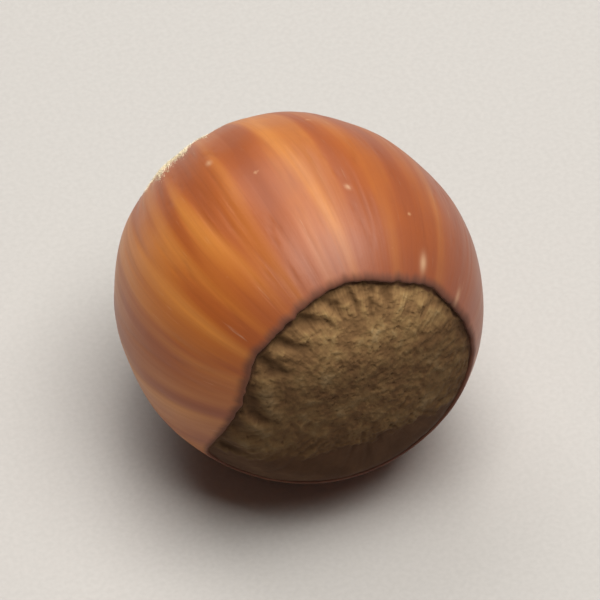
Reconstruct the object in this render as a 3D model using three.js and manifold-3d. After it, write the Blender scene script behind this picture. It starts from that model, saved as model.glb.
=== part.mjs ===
// A whole hazelnut in its closed shell, lying on its side on a small flat spot.
// The shell follows one smooth egg curve with low ridges from end to end. Its base ends in a rough,
// slightly domed scar inside an uneven lip, and its other end in a short blunt tip with folds round it.
// Millimetres, +Z up. The tip points along +Y and the scar along -Y, turned a little upward.

import * as THREE from 'three';
import { mergeVertices } from 'three/addons/utils/BufferGeometryUtils.js';
import Module from 'manifold-3d';

const wasm = await Module();
wasm.setup();

const radians = THREE.MathUtils.degToRad;

// Size of the nut
const shellWidth = 19.5;
const shellThickness = 19.0;
const eggHalfLength = 11.2; // from the middle of the egg curve to its tip end
const eggTaper = 0.08; // how much slimmer the tip end is than the base end
const restTilt = radians(8); // the scar looks up by this much as the nut lies
const restCut = 0.2; // depth of the flat spot that the nut lies on

// The lip of the scar, as places on the egg curve from the tip (0) round to the base (180 degrees)
const rimTurn = radians(141); // on its upper side
const rimSag = radians(10); // how much nearer the tip it lies on the underside
const tongueReach = radians(20); // how much nearer again where a tongue of the scar runs out
const tongueSide = radians(228); // the tongue's side, clockwise from straight up as seen from the base
const tongueSharpness = 12;

// The face of the scar
const scarDome = 1.2; // its middle stands out by this much
const scarBlend = 0.15; // softness of the change from the dome to the egg curve below it
const scarRadius = 5.9;
const lipGroove = 0.2; // depth of the groove just inside the lip, on the upper side
const lipGrooveWidth = 0.4;
const fibreCount = 25; // short radial ridges round the outer ring of the scar
const fibreHeight = 0.16;
const fibreSide = radians(265); // where the ridges are tallest
const fibreGrain = radians(305); // the ridges lean toward this direction as they run inward
const fibreLean = 0.8;
const roughBottom = 3.6; // the ridges end this far below the nut's axis, and a smooth part begins
const scarLump = 0.16; // soft unevenness of the middle of the scar

// The tip
const tipHeight = 0.45; // the blunt point stands this far off the egg curve
const tipRadius = 1.3;
const tipFolds = 6;
const tipFoldDepth = 0.16;

// The shell between lip and tip
const lobeHeight = 0.2; // slow bulges that keep the shell from being truly round
const ridgeCount = 15;
const ridgeHeight = 0.028;

// Waves round the nut, each with a height, a count and a phase
const rimWaves = [[radians(0.4), 3, -2.6], [radians(0.6), 7, -2.2], [radians(0.2), 11, 2.1]];
const lobeWaves = [[0.6, 2, -1.85], [0.4, 3, 4.9]];

// Fineness of the mesh
const turnSteps = 96;
const scarRings = 16;
const shellRings = 34;

const shellMaterial = new THREE.MeshStandardMaterial({ name: 'nutshell', color: '#b0683a', roughness: 0.45 });

// Widest radius of the egg curve sin(turn) * (1 - taper * cos(turn)), which sits past its middle
const widestCosine = (1 - Math.sqrt(1 + 8 * eggTaper ** 2)) / (4 * eggTaper);
const eggWidest = Math.sqrt(1 - widestCosine ** 2) * (1 - eggTaper * widestCosine);

// Radius and height of the egg curve, which runs from the tip at turn 0 toward the base
function eggPoint(turn) {
  return {
    radius: (shellWidth / 2) * Math.sin(turn) * (1 - eggTaper * Math.cos(turn)) / eggWidest,
    height: eggHalfLength * Math.cos(turn),
  };
}

// Sum of the waves at one angle round the nut
function waves(angle, parts) {
  return parts.reduce((sum, [height, count, phase]) => sum + height * Math.cos(count * angle + phase), 0);
}

// Place of the lip on the egg curve at one angle round the nut
function lipTurn(angle) {
  const sag = rimSag * ((1 - Math.cos(angle)) / 2) ** 2;
  const tongue = tongueReach * Math.exp(tongueSharpness * (Math.cos(angle - tongueSide) - 1));
  return rimTurn - sag - tongue + waves(angle, rimWaves);
}

// Height of the shell's bulges and ridges over the egg curve, fading out at both ends
function shellRelief(angle, along) {
  const lobes = waves(angle, lobeWaves) + 0.15 * Math.cos(5 * angle - along);
  const unevenSpacing = 1.6 * Math.sin(2 * angle + 0.4) + 0.9 * Math.sin(5 * angle + 1.9);
  const ridges = Math.cos(ridgeCount * angle + unevenSpacing);
  return Math.sin(Math.PI * along) * (lobeHeight * lobes + ridgeHeight * ridges);
}

// Radial ridges round the scar, unevenly spaced and leaning to one common direction
function scarFibres(angle, across) {
  const lean = fibreLean * (1 - across) * Math.sin(2 * (fibreGrain - angle));
  const unevenSpacing = 1.8 * Math.sin(3 * angle + 0.9) + 1.2 * Math.sin(7 * angle);
  const ridges = Math.cos(fibreCount * (angle + lean) + unevenSpacing);
  return ridges * (0.6 + 0.4 * Math.cos(angle - fibreSide));
}

// How far the scar stands out at one place: groove inside the lip, ring of radial ridges, lumpy middle
function scarRelief(angle, across, radius) {
  const inward = (1 - across) * scarRadius / lipGrooveWidth;
  const groove = (0.55 + 0.45 * Math.cos(angle)) * inward * Math.exp(1 - inward);
  const aboveBottom = radius * Math.cos(angle) + roughBottom;
  const ring = Math.exp(-(((across - 0.82) / 0.13) ** 2));
  const ridges = ring * THREE.MathUtils.smoothstep(aboveBottom, -0.6, 0.4) * scarFibres(angle, across);
  const lumps = Math.cos(5 * across + 2 * angle) * across * (1 - across) * 4;
  return fibreHeight * ridges + scarLump * lumps * across - lipGroove * groove;
}

// Extra height of the blunt tip, with folds that cut into its flanks
function tipRelief(angle, radius) {
  const reach = radius / tipRadius;
  const folds = Math.cos(tipFolds * angle + 0.8 * Math.sin(2 * angle));
  return tipHeight * Math.exp(-(reach ** 2)) + tipFoldDepth * folds * reach ** 2 * Math.exp(1 - reach ** 2);
}

// A place on the scar, from its middle (across 0) to the lip (across 1): on the egg curve, pressed in
// to a shallow dome wherever the dome lies inside the curve
function scarPoint(angle, across) {
  const { radius, height } = eggPoint(Math.PI - (Math.PI - lipTurn(angle)) * across);
  const rim = eggPoint(rimTurn);
  const pressed = rim.height - scarDome * (1 - (radius / rim.radius) ** 2) - height;
  const plain = height + (pressed + Math.sqrt(pressed ** 2 + scarBlend ** 2)) / 2;
  return { radius, height: plain - scarRelief(angle, across, radius) };
}

// A place on the shell, from the lip (along 0) to the tip (along 1)
function shellPoint(angle, along) {
  const turn = lipTurn(angle) * (1 - along);
  const egg = eggPoint(turn);
  const relief = shellRelief(angle, along);
  return {
    radius: egg.radius + relief * Math.sin(turn),
    height: egg.height + relief * Math.cos(turn) + tipRelief(angle, egg.radius),
  };
}

// Rings from the middle of the scar to the tip, closer together toward the lip and the tip
function ringPlaces() {
  const rings = [];
  for (let ring = 0; ring < scarRings; ring++) {
    const across = 1 - (1 - ring / scarRings) ** 1.6;
    rings.push((angle) => scarPoint(angle, across));
  }
  for (let ring = 0; ring <= shellRings; ring++) {
    const along = 1 - (1 - ring / shellRings) ** 1.15;
    rings.push((angle) => shellPoint(angle, along));
  }
  return rings;
}

// The whole skin, turned round +Y from the profile at angle 0, then given its true places
function nutSkin() {
  const rings = ringPlaces();
  const profile = rings.map((place) => new THREE.Vector2(place(0).radius, place(0).height));
  const skin = new THREE.LatheGeometry(profile, turnSteps);
  const { position, uv } = skin.attributes;
  const flatness = shellThickness / shellWidth;
  for (let vertex = 0; vertex < position.count; vertex++) {
    const angle = uv.getX(vertex) * 2 * Math.PI;
    const place = rings[Math.round(uv.getY(vertex) * (rings.length - 1))](angle);
    position.setXYZ(
      vertex,
      place.radius * Math.sin(angle),
      place.height,
      place.radius * Math.cos(angle) * flatness,
    );
  }
  skin.deleteAttribute('normal');
  skin.deleteAttribute('uv');
  return mergeVertices(skin, 1e-4);
}

// A closed geometry as a solid that can be cut; triangles that shrink to a line at the poles are left out
function solidFrom(geometry) {
  const index = geometry.index.array;
  const triVerts = [];
  for (let corner = 0; corner < index.length; corner += 3) {
    const [a, b, c] = index.slice(corner, corner + 3);
    if (a !== b && b !== c && c !== a) {
      triVerts.push(a, b, c);
    }
  }
  return new wasm.Manifold(new wasm.Mesh({
    numProp: 3,
    vertProperties: new Float32Array(geometry.attributes.position.array),
    triVerts: new Uint32Array(triVerts),
  }));
}

function geometryFrom(solid) {
  const mesh = solid.getMesh();
  const geometry = new THREE.BufferGeometry();
  geometry.setAttribute('position', new THREE.BufferAttribute(new Float32Array(mesh.vertProperties), 3));
  geometry.setIndex(new THREE.BufferAttribute(new Uint32Array(mesh.triVerts), 1));
  geometry.computeVertexNormals();
  return geometry;
}

// The nut lying down: tilted, with the flat spot cut off its lowest place
function lyingNut() {
  const skin = nutSkin().rotateX(-restTilt);
  skin.computeBoundingBox();
  const span = 2 * shellWidth;
  const block = new THREE.BoxGeometry(span, span, span);
  block.translate(0, 0, skin.boundingBox.min.z + restCut - span / 2);
  block.deleteAttribute('normal');
  block.deleteAttribute('uv');
  const geometry = geometryFrom(solidFrom(skin).subtract(solidFrom(mergeVertices(block))));
  geometry.computeBoundingBox();
  return geometry;
}

const geometry = lyingNut();
const box = geometry.boundingBox;
const hazelnut = new THREE.Mesh(geometry, shellMaterial);
hazelnut.name = 'hazelnut';
hazelnut.position.set(-(box.min.x + box.max.x) / 2, -(box.min.y + box.max.y) / 2, -box.min.z);

const part = new THREE.Group();
part.add(hazelnut);

export default part;
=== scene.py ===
"""A whole hazelnut in its shell, lying on its side with its basal scar toward the viewer.

The nut's own axis runs along Y, with the tip at +Y. Every surface is worked out on that axis in
millimetres, as rings round it, then turned by the resting tilt, set on the floor and made metres.
A place on the shell is an angle round the axis and a share of the way from the lip of the scar
(along 0) to the tip (along 1). A place on the scar is the same angle and a share of its radius.
"""

import math

import bpy
import numpy as np
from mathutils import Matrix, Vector


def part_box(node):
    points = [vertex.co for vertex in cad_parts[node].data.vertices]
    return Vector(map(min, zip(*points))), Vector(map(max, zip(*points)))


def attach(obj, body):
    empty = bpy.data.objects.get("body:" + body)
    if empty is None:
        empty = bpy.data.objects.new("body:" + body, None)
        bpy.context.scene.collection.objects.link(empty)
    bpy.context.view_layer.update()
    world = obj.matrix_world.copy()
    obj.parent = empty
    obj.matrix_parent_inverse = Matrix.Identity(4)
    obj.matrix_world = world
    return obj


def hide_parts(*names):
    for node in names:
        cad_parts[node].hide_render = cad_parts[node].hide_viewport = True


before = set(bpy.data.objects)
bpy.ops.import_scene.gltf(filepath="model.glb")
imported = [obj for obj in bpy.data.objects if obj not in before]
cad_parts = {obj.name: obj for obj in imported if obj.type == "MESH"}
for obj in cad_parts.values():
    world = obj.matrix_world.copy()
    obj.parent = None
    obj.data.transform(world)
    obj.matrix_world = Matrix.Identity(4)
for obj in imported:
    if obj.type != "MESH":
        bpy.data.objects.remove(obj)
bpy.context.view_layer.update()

MM = 0.001

# Size of the nut, in millimetres, and how it lies
SHELL_WIDTH = 19.5
SHELL_THICKNESS = 19.0
EGG_HALF_LENGTH = 11.2  # from the middle of the egg curve to its tip end
EGG_TAPER = 0.08  # how much slimmer the tip end is than the base end
REST_TILT = math.radians(8)  # the scar looks up by this much

# The lip of the scar, as places on the egg curve from the tip (0) round to the base (180 degrees)
RIM_TURN = math.radians(141)  # on its upper side
RIM_SAG = math.radians(10)  # how much nearer the tip it lies on the underside
TONGUE_REACH = math.radians(20)  # how much nearer again where a tongue of the scar runs out
TONGUE_SIDE = math.radians(228)  # the tongue's side, clockwise from straight up as seen from the base
TONGUE_SHARPNESS = 12

# The face of the scar, in millimetres
SCAR_DOME = 1.2  # its middle stands out by this much
SCAR_BLEND = 0.15  # softness of the change from the dome to the egg curve below it
SCAR_RADIUS = 5.9
LIP_GROOVE = 0.2  # depth of the groove just inside the lip, on the upper side
LIP_GROOVE_WIDTH = 0.4
FIBRE_COUNT = 25  # short radial ridges round the outer ring of the scar
FIBRE_HEIGHT = 0.16
FIBRE_RING = 0.82  # share of the way from the middle to the lip where they are tallest
FIBRE_RING_WIDTH = 0.13
FIBRE_SIDE = math.radians(265)  # where round the scar they are tallest
FIBRE_GRAIN = math.radians(305)  # they lean toward this direction as they run inward
FIBRE_LEAN = 0.8
ROUGH_BOTTOM = 3.6  # they end this far below the nut's axis, and a smooth part begins
SCAR_LUMP = 0.16  # soft unevenness of the middle of the scar

# The tip, and the shell between lip and tip, in millimetres
TIP_HEIGHT = 0.45  # the blunt point stands this far off the egg curve
TIP_RADIUS = 1.3
TIP_FOLDS = 6
TIP_FOLD_DEPTH = 0.16
LOBE_HEIGHT = 0.2  # slow bulges that keep the shell from being truly round
RIDGE_COUNT = 15
RIDGE_HEIGHT = 0.028
SHELL_REACH = 25.0  # way along the shell from lip to tip, for patterns sized in millimetres

# Waves round the nut, each with a height, a count and a phase
RIM_WAVES = [(math.radians(0.4), 3, -2.6), (math.radians(0.6), 7, -2.2), (math.radians(0.2), 11, 2.1)]
LOBE_WAVES = [(0.6, 2, -1.85), (0.4, 3, 4.9)]

# Fine relief of the shell that the plain form leaves out, in millimetres
LIP_RAGGED = 0.09
GROOVE_DEPTH = 0.03
DENT_DEPTH = 0.035
CREASE_DEPTH = 0.08

# Fine relief of the scar that the plain form leaves out, in millimetres
CRUMB_HEIGHT = 0.08
PORE_DEPTH = 0.1
GAP_DEPTH = 0.12  # between the radial ridges
CRACK_DEPTH = 0.08
COLLAR_WIDTH = 0.3  # of the smooth collar inside the lip
COLLAR_WIDENING = 0.1  # how much wider it is at its widest, and narrower opposite
COLLAR_WIDEST = math.radians(10)
COLLAR_STEP = 0.08  # the collar lies this much lower than the rough part
NOTCH_DEPTH = 0.1  # where collar and rough part meet
RISE_START = 4  # the lower edge of the rough part rises from this far right of the axis
RISE = 0.2

# Rings that carry the shell past its lip, in millimetres in from the lip and deep into the nut. The
# first three make a bead that stands out a little, and the rest a wall and a part under the scar
BEAD_INWARD = [0.06, 0.13, 0.18, 0.22, 0.25, 0.28, 3]
BEAD_DEEP = [-0.04, -0.05, -0.02, 0.06, 0.25, 0.8, 0.9]

# The plate of the scar, in millimetres
PLATE_THICKNESS = 0.75  # at the lip
PLATE_GAP = 0.16  # from the egg curve to its side wall
FACE_GAP = 0.12  # from the egg curve to the edge of its face
PLATE_INSET = 3  # from the egg curve to the ring of its underside

# Pale scuffs: degrees round the nut, share of the way to the tip, half width, half length, strength
SCUFFS = [
    (37, 0.04, 0.2, 0.5, 0.6),
    (62, 0.02, 0.15, 0.5, 0.35),
    (11.5, 0.21, 0.12, 0.15, 0.6),
    (337.5, 0.44, 0.15, 0.25, 0.5),
]

# Down of the tip, in millimetres and radians
FELT_EDGE = 0.76  # it begins this share of the way to the tip
FELT_SOFTNESS = 0.1
HAIR_COUNT = 44000
HAIR_LENGTH = (0.2, 0.5)
HAIR_HALF_WIDTH = 0.013
HAIR_SWING = 0.45  # usual turn to either side
HAIR_LIFT = (0.03, 0.35)
HAIR_ROOT = 0.02  # depth of its foot in the shell

# Fineness of the meshes and of the noise
SHELL_STEPS = 432
SHELL_RINGS = 212
SCAR_STEPS = 448
SCAR_RINGS = 200
NOISE_CELLS = 48  # a noise repeats after so many cells

# The camera looks down on the nut from its left front
VIEW_AZIMUTH = math.radians(-23)
VIEW_ELEVATION = math.radians(43.5)
LENS = 300  # focal length in millimetres
FRAME_WIDTH = 0.0325  # width of the picture at the nut, in metres
AIM_RIGHT = 0.0007  # from the middle of the nut's box to the middle of the picture, in metres
AIM_DOWN = 0.0011


def noise(points, seed):
    """Smooth random field, mostly in -1 to 1: a random slope at each point of a whole-number lattice,
    and the heights that the eight slopes round a place give there, mixed by an eased share of each."""
    slopes = np.random.default_rng(seed).normal(0, 1, (NOISE_CELLS, NOISE_CELLS, NOISE_CELLS, 3))
    cell = np.floor(points).astype(int)
    part = points - cell
    ease = part**3 * (part * (6 * part - 15) + 10)
    total = np.zeros(points.shape[:-1])
    for corner in np.ndindex(2, 2, 2):
        share = np.prod(np.where(corner, ease, 1 - ease), axis=-1)
        x, y, z = np.moveaxis((cell + corner) % NOISE_CELLS, -1, 0)
        total += share * ((part - corner) * slopes[x, y, z]).sum(axis=-1)
    return total


def layered_noise(points, seed, layers):
    """Sum of noise fields, each with half the height and half the size of the one before."""
    return sum(noise(points * 2**layer, seed + layer) / 2**layer for layer in range(layers))


def waves(angle, parts):
    """Sum of height * cos(count * angle + phase) over the parts (height, count, phase)."""
    return sum(height * np.cos(count * angle + phase) for height, count, phase in parts)


def smooth_step(low, high, value):
    """Eased share of the way from low to high, 0 before and 1 after."""
    share = np.clip((value - low) / (high - low), 0, 1)
    return share * share * (3 - 2 * share)


def narrow(field, width):
    """Thin lines where a field crosses zero: 1 on the line, falling to 0 at the width to each side."""
    return np.clip(1 - np.abs(field) / width, 0, 1) ** 2


def meridian(angle, along):
    """Point that streaky patterns read: a unit circle round the axis, with along as its height."""
    return np.stack(np.broadcast_arrays(np.sin(angle), np.cos(angle), along), axis=-1)


def streak_scale(width, length, radius=SHELL_WIDTH / 2, reach=SHELL_REACH):
    """Scale from a meridian point to a noise whose streaks are so many millimetres wide and long."""
    return np.array([radius / width, radius / width, reach / length])


def scar_scale(width, length):
    """The same for a pattern on the scar, whose streaks run from its rim to its middle."""
    return streak_scale(width, length, SCAR_RADIUS, SCAR_RADIUS)


def on_axis(angle, radius, height):
    """Place at a radius and height on the nut's axis, flattened a little through its thickness."""
    flatness = SHELL_THICKNESS / SHELL_WIDTH
    parts = [radius * np.sin(angle), height, radius * np.cos(angle) * flatness]
    return np.stack(np.broadcast_arrays(*parts), axis=-1)


def egg(turn):
    """Radius and height of the egg curve: sin(turn) * (1 - taper * cos(turn)) and cos(turn)."""
    widest_cosine = (1 - math.sqrt(1 + 8 * EGG_TAPER**2)) / (4 * EGG_TAPER)
    widest = math.sqrt(1 - widest_cosine**2) * (1 - EGG_TAPER * widest_cosine)
    radius = SHELL_WIDTH / 2 * np.sin(turn) * (1 - EGG_TAPER * np.cos(turn)) / widest
    return radius, EGG_HALF_LENGTH * np.cos(turn)


def lip_turn(angle, fine):
    """Place of the lip on the egg curve: a turn for the upper side, less a broad sag of the underside
    and a tongue on the lower left, plus slow waves and, where fine is 1, a raggedness of noise."""
    sag = RIM_SAG * ((1 - np.cos(angle)) / 2) ** 2
    tongue = TONGUE_REACH * np.exp(TONGUE_SHARPNESS * (np.cos(angle - TONGUE_SIDE) - 1))
    ragged = layered_noise(meridian(angle, 0) * scar_scale(0.65, 1), 11, 3) * LIP_RAGGED / EGG_HALF_LENGTH
    return RIM_TURN - sag - tongue + waves(angle, RIM_WAVES) + fine * ragged


def shell_relief(angle, along):
    """Bulges and low ridges of the shell, fading out at both ends as sin(pi * along)."""
    lobes = waves(angle, LOBE_WAVES) + 0.15 * np.cos(5 * angle - along)
    ridges = np.cos(RIDGE_COUNT * angle + 1.6 * np.sin(2 * angle + 0.4) + 0.9 * np.sin(5 * angle + 1.9))
    return np.sin(math.pi * along) * (LOBE_HEIGHT * lobes + RIDGE_HEIGHT * ridges)


def shell_grooves(angle, along):
    """Narrow lengthwise grooves, where a sum of two streaky noises crosses zero."""
    point = meridian(angle, along)
    streaks = noise(point * streak_scale(1.1, 13), 21) + 0.5 * noise(point * streak_scale(0.4, 9), 22)
    return narrow(streaks, 0.14)


def shell_fine_relief(angle, along, place):
    """Shallow dents of round noise, less the lengthwise grooves, fading out at both ends."""
    ends = np.sin(math.pi * np.clip(along, 0, 1)) ** 0.5
    dents = noise(place / 4.5, 23) + 0.5 * noise(place / 1.9, 24)
    return ends * (DENT_DEPTH * dents - GROOVE_DEPTH * shell_grooves(angle, along))


def scuff_marks(angle, along):
    """Share of a place that is a pale scuff: a soft oval bell of its own size round each scuff."""
    radius = egg(lip_turn(angle, 0) * (1 - along))[0]
    total = 0
    for scuff_angle, scuff_along, width, length, strength in SCUFFS:
        sideways = radius * ((angle - math.radians(scuff_angle) + math.pi) % (2 * math.pi) - math.pi)
        lengthwise = SHELL_REACH * (along - scuff_along)
        total = total + strength * np.exp(-((sideways / width) ** 2) - (lengthwise / length) ** 2)
    return total


def tip_relief(angle, radius):
    """Blunt point of the tip, a bell of the radius, with folds in its flanks."""
    reach = radius / TIP_RADIUS
    folds = np.cos(TIP_FOLDS * angle + 0.8 * np.sin(2 * angle)) * reach**2 * np.exp(1 - reach**2)
    return TIP_HEIGHT * np.exp(-(reach**2)) + TIP_FOLD_DEPTH * folds


def tip_creases(angle, radius):
    """Thin creases that run into the tip, strongest a little way out from it."""
    reach = radius / TIP_RADIUS
    creases = narrow(noise(meridian(angle, radius) * [2.6, 2.6, 0.7], 31), 0.2)
    return creases * smooth_step(0.15, 0.7, reach) * (1 - smooth_step(1.6, 3.2, reach))


def scar_fibres(angle, across):
    """Radial ridges round the scar, as a wave of the angle with uneven spacing, tallest on the left and
    leaning to one common direction as they run inward."""
    lean = FIBRE_LEAN * (1 - across) * np.sin(2 * (FIBRE_GRAIN - angle))
    uneven_spacing = 1.8 * np.sin(3 * angle + 0.9) + 1.2 * np.sin(7 * angle)
    ridges = np.cos(FIBRE_COUNT * (angle + lean) + uneven_spacing)
    return ridges * (0.6 + 0.4 * np.cos(angle - FIBRE_SIDE))


def scar_form(angle, across):
    """Radius and height of the plain scar: the egg curve from the base pole round to the lip, pressed
    in to a shallow dome wherever the dome lies inside it, with a soft blend between the two."""
    radius, height = egg(math.pi - (math.pi - lip_turn(angle, 0)) * across)
    rim_radius, rim_height = egg(RIM_TURN)
    pressed = rim_height - SCAR_DOME * (1 - (radius / rim_radius) ** 2) - height
    return radius, height + (pressed + np.sqrt(pressed**2 + SCAR_BLEND**2)) / 2


def scar_relief(angle, across, radius):
    """Groove inside the lip, deepest above, ring of radial ridges down to the smooth lower part, and
    slow lumps of the middle."""
    inward = (1 - across) * SCAR_RADIUS / LIP_GROOVE_WIDTH
    groove = (0.55 + 0.45 * np.cos(angle)) * inward * np.exp(1 - inward)
    above_bottom = radius * np.cos(angle) + ROUGH_BOTTOM
    ring = np.exp(-(((across - FIBRE_RING) / FIBRE_RING_WIDTH) ** 2))
    ring = ring * smooth_step(-0.6, 0.4, above_bottom)
    ridges = ring * scar_fibres(angle, across)
    lumps = np.cos(5 * across + 2 * angle) * across * (1 - across) * 4
    return FIBRE_HEIGHT * ridges + SCAR_LUMP * lumps * across - LIP_GROOVE * groove


def past_rough(angle, across, place):
    """How far a place on the scar lies past the ragged edge of its rough part, in millimetres, and a
    third as much below, where the change is soft. The edge runs just inside the lip, and below it is
    nearly level, rising toward the right. It is ragged by two noises, 0.8 and 0.3 mm in size."""
    width = COLLAR_WIDTH + COLLAR_WIDENING * np.cos(angle - COLLAR_WIDEST)
    bottom = ROUGH_BOTTOM - RISE * np.maximum(place[..., 0] - RISE_START, 0) ** 2
    ragged = 0.15 * noise(place / 0.8, 44) + 0.08 * noise(place / 0.3, 45)
    past_ring = width - (1 - across) * SCAR_RADIUS
    past_bottom = (-place[..., 2] - bottom) / 3
    return np.maximum(past_ring, past_bottom) + ragged


def scar_fine_relief(angle, across, place):
    """Fine crumb with small pores in the middle, gaps and cracks between the radial ridges toward the
    rim, a smooth collar that lies a little lower, and notches where the two meet. Returns the relief,
    the share that is the collar and the smooth part below the rough edge, and the share that is a
    pore, gap, crack or notch, which the material darkens as painted shade in these hollows."""
    point = meridian(angle, across)
    past = past_rough(angle, across, place)
    collar_and_low_part = smooth_step(-0.06, 0.12, past)
    bent = angle + 0.06 * noise(point * scar_scale(1.5, 1.5), 41)
    ridged = smooth_step(0.5, 0.8, across + 0.1 * noise(point * scar_scale(0.8, 2), 42))
    broken = smooth_step(-0.4, 0.3, noise(point * scar_scale(0.9, 1.3), 54))
    gaps = ridged * broken * smooth_step(0.0, 0.9, -scar_fibres(bent, across))
    cracks = 0.7 * ridged * narrow(noise(point * scar_scale(0.4, 2), 47), 0.16)
    crumb = layered_noise(place / 0.5, 43, 3)
    pores = 0.4 * smooth_step(0.45, 0.9, noise(place / 0.24, 46) + 0.4 * noise(place / 1.3, 50))
    torn = smooth_step(-0.2, 0.5, noise(meridian(angle, 0) * scar_scale(0.5, 1), 48))
    notches = torn * np.exp(-(((past + 0.12) / 0.18) ** 2))
    spongy = CRUMB_HEIGHT * crumb - GAP_DEPTH * gaps - CRACK_DEPTH * cracks - PORE_DEPTH * pores
    smooth = 0.05 * noise(point * scar_scale(0.4, 1.5), 49) - COLLAR_STEP
    # Share of painted shade: the pores, gaps, cracks and notches cut into the relief are darkened too
    painted_hollow_shade = np.clip((1 - collar_and_low_part) * (pores + 0.8 * gaps + 0.6 * cracks) + 0.5 * notches, 0, 1)
    return (1 - collar_and_low_part) * spongy + collar_and_low_part * smooth - NOTCH_DEPTH * notches, collar_and_low_part, painted_hollow_shade


def shell_place(angle, along, fine):
    """A place on the shell: the egg curve, moved out along its own turn by the relief, and raised at
    the tip. Where fine is 1 it has the fine relief too."""
    turn = lip_turn(angle, fine) * (1 - along)
    radius, height = egg(turn)
    relief = shell_relief(angle, along)
    rise = tip_relief(angle, radius)
    if fine:
        relief = relief + shell_fine_relief(angle, along, on_axis(angle, radius, height))
        rise = rise - CREASE_DEPTH * tip_creases(angle, radius)
    return on_axis(angle, radius + relief * np.sin(turn), height + relief * np.cos(turn) + rise)


def turned(points):
    """Points on the nut's axis, tilted about X as the nut lies."""
    x, y, z = np.moveaxis(points, -1, 0)
    cosine = math.cos(REST_TILT)
    sine = math.sin(REST_TILT)
    return np.stack([x, cosine * y + sine * z, cosine * z - sine * y], axis=-1)


def resting_shift():
    """How far the turned form moves to fill the box of the solid: sides centred, tip and top level.
    It is measured on a coarse grid of the plain shell."""
    angle = np.linspace(0, 2 * math.pi, 96, endpoint=False)[None, :]
    along = np.linspace(0, 1, 140)[:, None]
    shell = turned(shell_place(angle, along, 0)).reshape(-1, 3)
    low, high = (np.array(corner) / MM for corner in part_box("hazelnut"))
    middle = (low[0] + high[0] - shell[:, 0].min() - shell[:, 0].max()) / 2
    return np.array([middle, high[1] - shell[:, 1].max(), high[2] - shell[:, 2].max()])


SHIFT = resting_shift()


def laid(points):
    """Points on the nut's axis as they lie, in metres, with the flat spot at height 0."""
    places = (turned(points) + SHIFT) * MM
    places[..., 2] = np.maximum(places[..., 2], 0)
    return places


def new_piece(name, vertices, faces, material):
    """A mesh object of the nut with one material, at the origin."""
    mesh = bpy.data.meshes.new(name)
    mesh.from_pydata(vertices.tolist(), [], faces)
    mesh.materials.append(material)
    piece = bpy.data.objects.new(name, mesh)
    bpy.context.scene.collection.objects.link(piece)
    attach(piece, "root")
    return piece


def ringed_skin(name, rings, tip, base, material):
    """Closed mesh over rings round the nut's axis, from a pole toward the tip to one toward the base."""
    rows, steps = rings.shape[:2]
    corners = np.arange(rows * steps).reshape(rows, steps)
    after = np.roll(corners, -1, axis=1)
    quads = np.stack([corners[:-1], corners[1:], after[1:], after[:-1]], axis=-1).reshape(-1, 4)
    tip_pole = rows * steps
    tip_fan = np.stack([np.full(steps, tip_pole), corners[0], after[0]], axis=-1)
    base_fan = np.stack([np.full(steps, tip_pole + 1), after[-1], corners[-1]], axis=-1)
    vertices = laid(np.concatenate([rings.reshape(-1, 3), [tip], [base]]))
    piece = new_piece(name, vertices, quads.tolist() + tip_fan.tolist() + base_fan.tolist(), material)
    piece.data.shade_smooth()
    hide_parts("hazelnut")
    return piece


def add_attribute(piece, name, rings, at_tip, at_base):
    """Stores a number or vector for each place of the rings, and one for each pole, for materials."""
    parts = rings.shape[2] if rings.ndim == 3 else 1
    ends = np.array([at_tip, at_base], dtype=float).reshape(2, parts)
    values = np.concatenate([rings.reshape(-1, parts), ends]).astype(np.float32)
    kind, field = ("FLOAT", "value") if parts == 1 else ("FLOAT_VECTOR", "vector")
    piece.data.attributes.new(name, kind, "POINT").data.foreach_set(field, values.ravel())


def felt_cover(angle, along):
    """Share of the shell that the down of the tip covers: full at the tip, thinning out in fingers,
    with one long finger on the upper left."""
    point = meridian(angle, along)
    fingers = 0.8 * noise(point * streak_scale(2.6, 30), 51)
    fingers = fingers + 0.55 * noise(point * streak_scale(1.0, 14), 52)
    fingers = fingers + 0.35 * noise(point * streak_scale(0.4, 8), 53)
    upper_left = np.cos(angle + math.radians(35))
    edge = FELT_EDGE - 0.03 * upper_left - 0.1 * fingers - 0.06 * ((1 + upper_left) / 2) ** 30
    return smooth_step(edge - FELT_SOFTNESS, edge + FELT_SOFTNESS, along)


def make_shell(material):
    """Shell from tip to lip, then over the bead of the lip, down the wall inside it and under the scar."""
    angle = np.linspace(0, 2 * math.pi, SHELL_STEPS, endpoint=False)[None, :]
    along = np.linspace(1, 0, SHELL_RINGS + 1)[1:, None]
    radius, height = egg(lip_turn(angle, 1))
    inward = np.array(BEAD_INWARD)[:, None]
    deep = np.array(BEAD_DEEP)[:, None]
    bead = on_axis(angle, radius - inward, height + deep)
    rings = np.concatenate([shell_place(angle, along, 1), bead])
    tip = [0, EGG_HALF_LENGTH + TIP_HEIGHT, 0]
    base = [0, egg(RIM_TURN)[1] + BEAD_DEEP[-1], 0]
    shell = ringed_skin("hazelnut_shell", rings, tip, base, material)
    along = np.concatenate([along, -inward / SHELL_REACH])
    radius = egg(lip_turn(angle, 1) * (1 - along))[0]
    add_attribute(shell, "meridian", meridian(angle, along), (0, 0, 1), (0, 0, -0.1))
    add_attribute(shell, "groove", shell_grooves(angle, along), 0, 0)
    add_attribute(shell, "scuff", scuff_marks(angle, along), 0, 0)
    add_attribute(shell, "felt", felt_cover(angle, along), 1, 0)
    add_attribute(shell, "painted_crease_shade", tip_creases(angle, radius), 0, 0)


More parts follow.
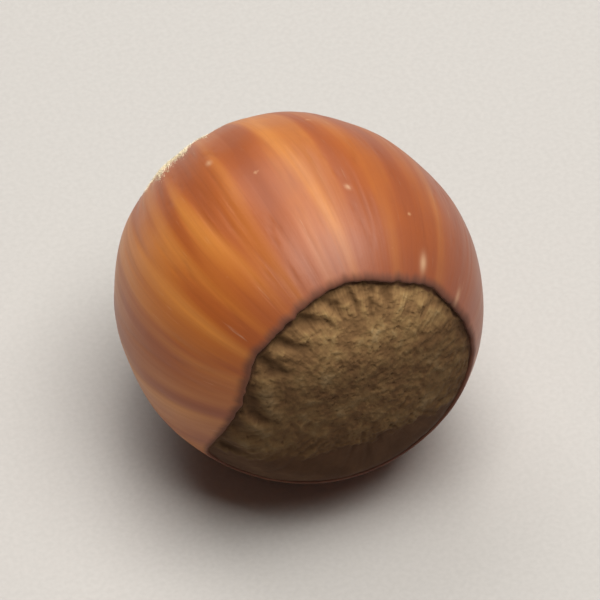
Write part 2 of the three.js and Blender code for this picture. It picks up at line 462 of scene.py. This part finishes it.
def make_scar(material):
    """Scar as a thick plate in the lip: hidden underside, side wall, then the face to its middle, with
    its rings closer together toward the lip."""
    angle = np.linspace(0, 2 * math.pi, SCAR_STEPS, endpoint=False)[None, :]
    across = (1 - np.linspace(0, 1, SCAR_RINGS, endpoint=False) ** 1.15)[:, None]
    radius, height = scar_form(angle, across)
    fine, collar_and_low_part, painted_hollow_shade = scar_fine_relief(angle, across, on_axis(angle, radius, height))
    relief = scar_relief(angle, across, radius) + fine * smooth_step(0, 0.06, across)
    face = on_axis(angle, radius - FACE_GAP * across, height - relief)
    lip_radius, lip_height = egg(lip_turn(angle, 0))
    under = on_axis(angle, lip_radius - PLATE_INSET, lip_height + PLATE_THICKNESS)
    wall = on_axis(angle, lip_radius - PLATE_GAP, lip_height + PLATE_THICKNESS)
    rings = np.concatenate([under, wall, face])
    rim_height = egg(RIM_TURN)[1]
    back = [0, rim_height + PLATE_THICKNESS, 0]
    middle = [0, rim_height - SCAR_DOME, 0]
    scar = ringed_skin("basal_scar", rings, back, middle, material)

    # The two hidden rings come first, and carry the place of the lip and no relief
    hidden = ((2, 0), (0, 0))
    across = np.concatenate([[[1], [1]], across])
    add_attribute(scar, "spokes", meridian(angle, across), (0, 0, 0), (0, 0, 0))
    add_attribute(scar, "level", np.pad(relief, hidden), 0, 0)
    add_attribute(scar, "collar_and_low_part", np.pad(collar_and_low_part, hidden), 0, 0)
    add_attribute(scar, "painted_pit_shade", np.pad(painted_hollow_shade, hidden), 0, 0)


def unit(vectors):
    """Vectors made 1 long."""
    return vectors / (np.linalg.norm(vectors, axis=-1, keepdims=True) + 1e-12)


def make_down(material):
    """Down of the tip: thin three-sided spikes, rooted at random on the felted shell, lying nearly
    flat and pointing toward the tip with a random swing to either side. Roots are tried at random
    places, and kept the more often, the more the felt covers a place."""
    draw = np.random.default_rng(61)
    tries = 8 * HAIR_COUNT
    angle = draw.uniform(0, 2 * math.pi, tries)
    along = 1 - 0.6 * np.sqrt(draw.uniform(0, 1, tries))
    kept = draw.uniform(0, 1, tries) < felt_cover(angle, along) ** 1.3
    angle = angle[kept][:HAIR_COUNT]
    along = along[kept][:HAIR_COUNT]
    step = 0.004  # a small move along or round the shell, which gives its slopes
    root = shell_place(angle, along, 1)
    forward = unit(shell_place(angle, np.minimum(along + step, 1), 1) - root)
    outward = unit(np.cross(forward, shell_place(angle + step, along, 1) - root))
    outward = outward * np.sign((outward * root).sum(axis=1, keepdims=True))
    swing = draw.normal(0, HAIR_SWING, (len(root), 1))
    lift = draw.uniform(*HAIR_LIFT, (len(root), 1))
    direction = np.cos(swing) * forward + np.sin(swing) * np.cross(forward, outward)
    direction = np.cos(lift) * direction + np.sin(lift) * outward
    length = draw.uniform(*HAIR_LENGTH, (len(root), 1)) * felt_cover(angle, along)[:, None] ** 0.3
    across = HAIR_HALF_WIDTH * np.cross(direction, outward)
    foot = root - HAIR_ROOT * outward
    top = foot + 1.6 * HAIR_HALF_WIDTH * outward
    corners = [foot + across, foot - across, top, root + length * direction]
    first = 4 * np.arange(len(root))[:, None]
    faces = np.concatenate([first + [0, 1, 3], first + [1, 2, 3], first + [2, 0, 3], first + [0, 2, 1]])
    new_piece("tip_down", laid(np.stack(corners, axis=1)).reshape(-1, 3), faces.tolist(), material)


def linear(hex_colour):
    """An sRGB hex colour as the linear red, green, blue and alpha that shaders take."""
    shares = [int(hex_colour[i:i + 2], 16) / 255 for i in (1, 3, 5)]
    return [c / 12.92 if c <= 0.04045 else ((c + 0.055) / 1.055) ** 2.4 for c in shares] + [1]


def add(tree, kind, inputs=None, stops=None, result=0, **settings):
    """Adds a node with its settings, its inputs as values or links, and its colour stops, and returns
    one of its outputs."""
    node = tree.nodes.new(kind)
    for name, value in settings.items():
        setattr(node, name, value)
    for socket, value in (inputs or {}).items():
        if isinstance(value, bpy.types.NodeSocket):
            tree.links.new(value, node.inputs[socket])
        else:
            node.inputs[socket].default_value = value
    if stops:
        elements = node.color_ramp.elements
        elements.remove(elements[1])
        for index, (position, value) in enumerate(stops):
            element = elements.new(position) if index else elements[0]
            element.position = position
            element.color = linear(value) if isinstance(value, str) else [value] * 3 + [1]
    return node.outputs[result]


def cells(size):
    """Scale of a pattern on Object coordinates whose cells are so many millimetres across."""
    return 1 / (size * MM)


def new_material(name, roughness):
    """An empty surface material, as its own tree and shader."""
    material = bpy.data.materials.new(name)
    material.use_nodes = True
    shader = material.node_tree.nodes["Principled BSDF"]
    shader.inputs["Roughness"].default_value = roughness
    return material, material.node_tree, shader


def banded_brown(tree, streak):
    """Colour of the bare shell: soft bands about 2 mm wide, finer streaks, and dark hair lines."""
    noises = []
    for width, length, detail, distortion in [(2, 18, 1, 0.4), (0.6, 10, 3, 0.3), (0.16, 6, 2, 0.2)]:
        scale = tuple(streak_scale(width, length))
        point = add(tree, "ShaderNodeVectorMath", {0: streak, 1: scale}, operation="MULTIPLY")
        noises.append(add(tree, "ShaderNodeTexNoise", {
            "Vector": point, "Scale": 1.0, "Detail": detail, "Distortion": distortion}))
    band, fine, line = noises
    tone = add(tree, "ShaderNodeMix", {0: 0.15, 2: band, 3: fine})
    colour = add(tree, "ShaderNodeValToRGB", {"Fac": tone}, [
        (0.32, "#974A1A"), (0.46, "#A75720"), (0.54, "#B46626"), (0.68, "#CA8037")])
    shade = add(tree, "ShaderNodeValToRGB", {"Fac": line}, [(0.3, 0.7), (0.45, 1.0)])
    colour = add(tree, "ShaderNodeMix", {0: 0.2, 6: colour, 7: shade}, result=2,
                 data_type="RGBA", blend_type="MULTIPLY")
    return colour, fine, line


def pale_crumbs(tree, place):
    """Share of a place that is a pale crumb: about 0.2 mm wide, in a few cells of a 1.7 mm pattern."""
    wobble = add(tree, "ShaderNodeTexNoise", {"Vector": place, "Scale": cells(0.3)}, result="Color")
    wobbled = add(tree, "ShaderNodeVectorMath", {0: wobble, 1: (0.3 * MM,) * 3, 2: place},
                  operation="MULTIPLY_ADD")
    pattern = {"Vector": wobbled, "Scale": cells(1.7)}
    near = add(tree, "ShaderNodeTexVoronoi", pattern, result="Distance")
    which = add(tree, "ShaderNodeTexVoronoi", pattern, result="Color")
    near = add(tree, "ShaderNodeMapRange", {0: near, 1: 0.03, 2: 0.1, 3: 0.5, 4: 0.0})
    chosen = add(tree, "ShaderNodeMath", {0: which, 1: 0.78}, operation="GREATER_THAN")
    return add(tree, "ShaderNodeMath", {0: near, 1: chosen}, operation="MULTIPLY")


def short_down(tree, streak):
    """Down too short to stand as hairs: its share of a place, in streaky tufts, and its colour."""
    scale = tuple(streak_scale(0.25, 2.5))
    point = add(tree, "ShaderNodeVectorMath", {0: streak, 1: scale}, operation="MULTIPLY")
    tufts = add(tree, "ShaderNodeTexNoise", {"Vector": point, "Scale": 1.0, "Detail": 4.0})
    felt = add(tree, "ShaderNodeAttribute", result="Fac", attribute_name="felt")
    thick = add(tree, "ShaderNodeMath", {0: tufts, 1: 1.6, 2: felt}, operation="MULTIPLY_ADD")
    thick = add(tree, "ShaderNodeMapRange", {0: thick, 1: 1.05, 2: 1.75, 3: 0.0, 4: 0.95},
                interpolation_type="SMOOTHSTEP")
    cream = add(tree, "ShaderNodeValToRGB", {"Fac": tufts}, [(0.35, "#C6B894"), (0.65, "#E6DCC0")])
    return thick, cream


def shell_material():
    """Hazelnut shell: a hard woody wall with a thin waxy skin. The eye sees a satin orange brown with
    lighter and darker bands from end to end, ruddier on one side, dark brown at the lip, a few pale
    crumbs and scuffs, a faint bloom at grazing angles, and matt cream where the tip's down covers it.
    Its lengthwise grooves and the creases of the tip are darkened as painted shade."""
    material, tree, shader = new_material("woody_nutshell_satin", 0.42)
    shader.inputs["Sheen Weight"].default_value = 0.08
    shader.inputs["Sheen Roughness"].default_value = 0.4
    shader.inputs["Sheen Tint"].default_value = linear("#F3DCD2")
    streak = add(tree, "ShaderNodeAttribute", result="Vector", attribute_name="meridian")
    groove = add(tree, "ShaderNodeAttribute", result="Fac", attribute_name="groove")
    painted_crease_shade = add(tree, "ShaderNodeAttribute", result="Fac", attribute_name="painted_crease_shade")
    scuff = add(tree, "ShaderNodeAttribute", result="Fac", attribute_name="scuff")
    place = add(tree, "ShaderNodeTexCoord", result="Object")
    side = add(tree, "ShaderNodeSeparateXYZ", {0: streak}, result="X")
    along = add(tree, "ShaderNodeSeparateXYZ", {0: streak}, result="Z")
    cloud = add(tree, "ShaderNodeTexNoise", {"Vector": place, "Scale": cells(4), "Detail": 3.0})
    colour, fine, line = banded_brown(tree, streak)

    # Each layer's share: ruddy right side, mauve tinge toward the lip, ragged lip, and painted shade in
    # the lengthwise grooves
    ruddy = add(tree, "ShaderNodeMath", {0: side, 1: 0.6, 2: cloud}, operation="MULTIPLY_ADD")
    ruddy = add(tree, "ShaderNodeMapRange", {0: ruddy, 1: 0.3, 2: 1.0, 3: 0.0, 4: 0.7})
    tinge = add(tree, "ShaderNodeMapRange", {0: along, 1: 0.0, 2: 0.12, 3: 0.3, 4: 0.0})
    ragged_along = add(tree, "ShaderNodeMath", {0: fine, 1: -0.02, 2: along}, operation="MULTIPLY_ADD")
    lip = add(tree, "ShaderNodeMapRange", {0: ragged_along, 1: -0.014, 2: 0.01, 3: 0.9, 4: 0.0},
              interpolation_type="SMOOTHSTEP")
    groove = add(tree, "ShaderNodeMath", {0: groove, 1: 0.12}, operation="MULTIPLY")
    crumb = pale_crumbs(tree, place)
    thick, cream = short_down(tree, streak)
    layers = [
        (ruddy, linear("#8E5038")),
        (tinge, linear("#7F4636")),
        (lip, linear("#5C3525")),
        # painted shade in the lengthwise grooves
        (groove, linear("#6E3519")),
        (crumb, linear("#D2A57A")),
        (scuff, linear("#DDB892")),
        (thick, cream),
        # painted shade in the creases of the tip
        (painted_crease_shade, linear("#5E5138")),
    ]
    for share, paint in layers:
        colour = add(tree, "ShaderNodeMix", {0: share, 6: colour, 7: paint}, result=2, data_type="RGBA")
    tree.links.new(colour, shader.inputs["Base Color"])

    # Satin where bare, matt in the down and inside the lip
    rough = add(tree, "ShaderNodeMapRange", {0: fine, 1: 0.3, 2: 0.7, 3: 0.48, 4: 0.4})
    rough = add(tree, "ShaderNodeMix", {0: thick, 2: rough, 3: 0.9})
    rough = add(tree, "ShaderNodeMix", {0: lip, 2: rough, 3: 0.8})
    tree.links.new(rough, shader.inputs["Roughness"])
    grain = add(tree, "ShaderNodeTexNoise", {"Vector": place, "Scale": cells(0.35), "Detail": 3.0})
    height = add(tree, "ShaderNodeMix", {0: 0.45, 2: grain, 3: line})
    bump = add(tree, "ShaderNodeBump", {"Strength": 0.35, "Distance": 0.03 * MM, "Height": height})
    tree.links.new(bump, shader.inputs["Normal"])
    return material


def scar_material():
    """Torn corky base of the shell: dead matt fibre. The eye sees olive tan crumb with darker pits and
    gaps as painted shade, lighter raised parts and darker low ones as painted light and shade, a
    smoother grey brown collar inside the lip that is darker over the smooth lower part as painted
    shade, and painted shade that darkens the scar toward the lower side."""
    material, tree, shader = new_material("torn_cork_fibre", 0.9)
    shader.inputs["Specular IOR Level"].default_value = 0.2
    spokes = add(tree, "ShaderNodeAttribute", result="Vector", attribute_name="spokes")
    level = add(tree, "ShaderNodeAttribute", result="Fac", attribute_name="level")
    collar_and_low_part = add(tree, "ShaderNodeAttribute", result="Fac", attribute_name="collar_and_low_part")
    painted_pit_shade = add(tree, "ShaderNodeAttribute", result="Fac", attribute_name="painted_pit_shade")
    place = add(tree, "ShaderNodeTexCoord", result="Object")
    across = add(tree, "ShaderNodeSeparateXYZ", {0: spokes}, result="Z")

    # Tone from crumb in the middle and fibre toward the rim, from the height as painted light on raised
    # parts and painted shade in low ones, and from a coarser mottle
    scale = tuple(scar_scale(0.16, 0.9))
    fibre = add(tree, "ShaderNodeVectorMath", {0: spokes, 1: scale}, operation="MULTIPLY")
    fibre = add(tree, "ShaderNodeTexNoise", {"Vector": fibre, "Scale": 1.0, "Detail": 3.0})
    crumb = add(tree, "ShaderNodeTexNoise", {
        "Vector": place, "Scale": cells(0.4), "Detail": 5.0, "Roughness": 0.6})
    mottle = add(tree, "ShaderNodeTexNoise", {"Vector": place, "Scale": cells(1.3), "Detail": 2.0})
    outer = add(tree, "ShaderNodeMapRange", {0: across, 1: 0.45, 2: 0.8, 3: 0.0, 4: 0.6})
    grain = add(tree, "ShaderNodeMix", {0: outer, 2: crumb, 3: fibre})
    # Painted light and shade: raised parts of the relief lighter, low ones darker
    height = add(tree, "ShaderNodeMapRange", {0: level, 1: -0.3, 2: 0.3, 3: 0.0, 4: 1.0})
    tone = add(tree, "ShaderNodeMix", {0: 0.45, 2: grain, 3: height})
    tone = add(tree, "ShaderNodeMix", {0: 0.42, 2: tone, 3: mottle})
    colour = add(tree, "ShaderNodeValToRGB", {"Fac": tone}, [
        (0.36, "#785A3A"), (0.46, "#91704A"), (0.54, "#A8885A"), (0.64, "#BFA478")])
    # Darker grey brown of the collar inside the lip; over the smooth lower part it is painted shade
    collar_and_low_shade_tone = add(tree, "ShaderNodeValToRGB", {"Fac": tone}, [
        (0.36, "#543828"), (0.5, "#74533C"), (0.62, "#907053")])

    # The collar, darker as painted shade where it covers the smooth lower part, painted shade toward the
    # lower side, painted shade in pits and gaps, and a dark line where the lip begins
    # Painted shade: the scar turns darker brown the lower it lies
    painted_low_shade = add(tree, "ShaderNodeSeparateXYZ", {0: place}, result="Z")
    painted_low_shade = add(tree, "ShaderNodeMapRange", {0: painted_low_shade, 1: 15.2 * MM, 2: 11.5 * MM, 3: 0.0, 4: 0.77})
    # Painted shade in the pores, gaps, cracks and notches
    painted_pit_shade = add(tree, "ShaderNodeMath", {0: painted_pit_shade, 1: 0.43}, operation="MULTIPLY")
    rim = add(tree, "ShaderNodeMapRange", {0: across, 1: 0.975, 2: 0.995, 3: 0.0, 4: 0.7})
    layers = [
        (collar_and_low_part, collar_and_low_shade_tone),
        (painted_low_shade, linear("#432C1A")),
        (painted_pit_shade, linear("#3A2718")),
        (rim, linear("#6A4632")),
    ]
    for share, paint in layers:
        colour = add(tree, "ShaderNodeMix", {0: share, 6: colour, 7: paint}, result=2, data_type="RGBA")
    tree.links.new(colour, shader.inputs["Base Color"])
    bump = add(tree, "ShaderNodeBump", {"Strength": 0.55, "Distance": 0.1 * MM, "Height": grain})
    tree.links.new(bump, shader.inputs["Normal"])
    return material


def down_material():
    """Short silky plant hairs. The eye sees matt cream, a little uneven."""
    material, tree, shader = new_material("silky_tip_down", 0.85)
    place = add(tree, "ShaderNodeTexCoord", result="Object")
    mottle = add(tree, "ShaderNodeTexNoise", {"Vector": place, "Scale": cells(1.1), "Detail": 2.0})
    colour = add(tree, "ShaderNodeValToRGB", {"Fac": mottle}, [(0.35, "#DDD0AF"), (0.65, "#EFE5CB")])
    tree.links.new(colour, shader.inputs["Base Color"])
    return material


def paper_material():
    """Matt white paper. The eye sees an even pale floor with a barely visible tooth."""
    material, tree, shader = new_material("matt_paper_sweep", 0.8)
    place = add(tree, "ShaderNodeTexCoord", result="Object")
    tooth = add(tree, "ShaderNodeTexNoise", {"Vector": place, "Scale": cells(0.3), "Detail": 1.0})
    colour = add(tree, "ShaderNodeValToRGB", {"Fac": tooth}, [(0.3, "#B8B7B5"), (0.7, "#BDBCBA")])
    tree.links.new(colour, shader.inputs["Base Color"])
    return material


def make_floor():
    """A large flat floor at height 0."""
    half = 1.0
    mesh = bpy.data.meshes.new("floor")
    corners = [(-half, -half, 0), (half, -half, 0), (half, half, 0), (-half, half, 0)]
    mesh.from_pydata(corners, [], [(0, 1, 2, 3)])
    mesh.materials.append(paper_material())
    floor = bpy.data.objects.new("floor", mesh)
    bpy.context.scene.collection.objects.link(floor)


def make_light(name, place, aim, size, power, colour):
    """A square soft light at a place, facing an aim point."""
    lamp = bpy.data.lights.new(name, "AREA")
    lamp.size = size
    lamp.energy = power
    lamp.color = linear(colour)[:3]
    light = bpy.data.objects.new(name, lamp)
    light.location = place
    light.rotation_euler = (Vector(aim) - Vector(place)).to_track_quat("-Z", "Y").to_euler()
    bpy.context.scene.collection.objects.link(light)


def make_lights(aim):
    """A large soft light overhead, a weaker one high up behind, and a faint even surround."""
    make_light("overhead_softbox", (0.065, -0.06, 0.435), aim, 0.36, 2.7, "#FFF9F2")
    make_light("rear_skylight", (0.02, 0.28, 0.34), aim, 0.3, 0.8, "#FFFCF8")
    world = bpy.data.worlds.new("pale_surround")
    world.use_nodes = True
    background = world.node_tree.nodes["Background"]
    background.inputs["Color"].default_value = linear("#F6F5F4")
    background.inputs["Strength"].default_value = 0.06
    bpy.context.scene.world = world


def make_camera(middle):
    """A long lens from the view's azimuth and elevation, aimed so that the nut's outline is centred."""
    camera_data = bpy.data.cameras.new("camera")
    camera_data.lens = LENS
    camera_data.clip_start = 0.01
    back = Vector((
        math.sin(VIEW_AZIMUTH) * math.cos(VIEW_ELEVATION),
        -math.cos(VIEW_AZIMUTH) * math.cos(VIEW_ELEVATION),
        math.sin(VIEW_ELEVATION),
    ))
    right = Vector((math.cos(VIEW_AZIMUTH), math.sin(VIEW_AZIMUTH), 0))
    aim = middle + AIM_RIGHT * right - AIM_DOWN * back.cross(right)
    camera = bpy.data.objects.new("camera", camera_data)
    camera.location = aim + FRAME_WIDTH * LENS / camera_data.sensor_width * back
    camera.rotation_euler = back.to_track_quat("Z", "Y").to_euler()
    bpy.context.scene.collection.objects.link(camera)
    bpy.context.scene.camera = camera


low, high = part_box("hazelnut")
make_camera((low + high) / 2)
make_floor()
make_lights((low + high) / 2)
make_shell(shell_material())
make_scar(scar_material())
make_down(down_material())
bpy.context.scene.view_settings.view_transform = "Standard"
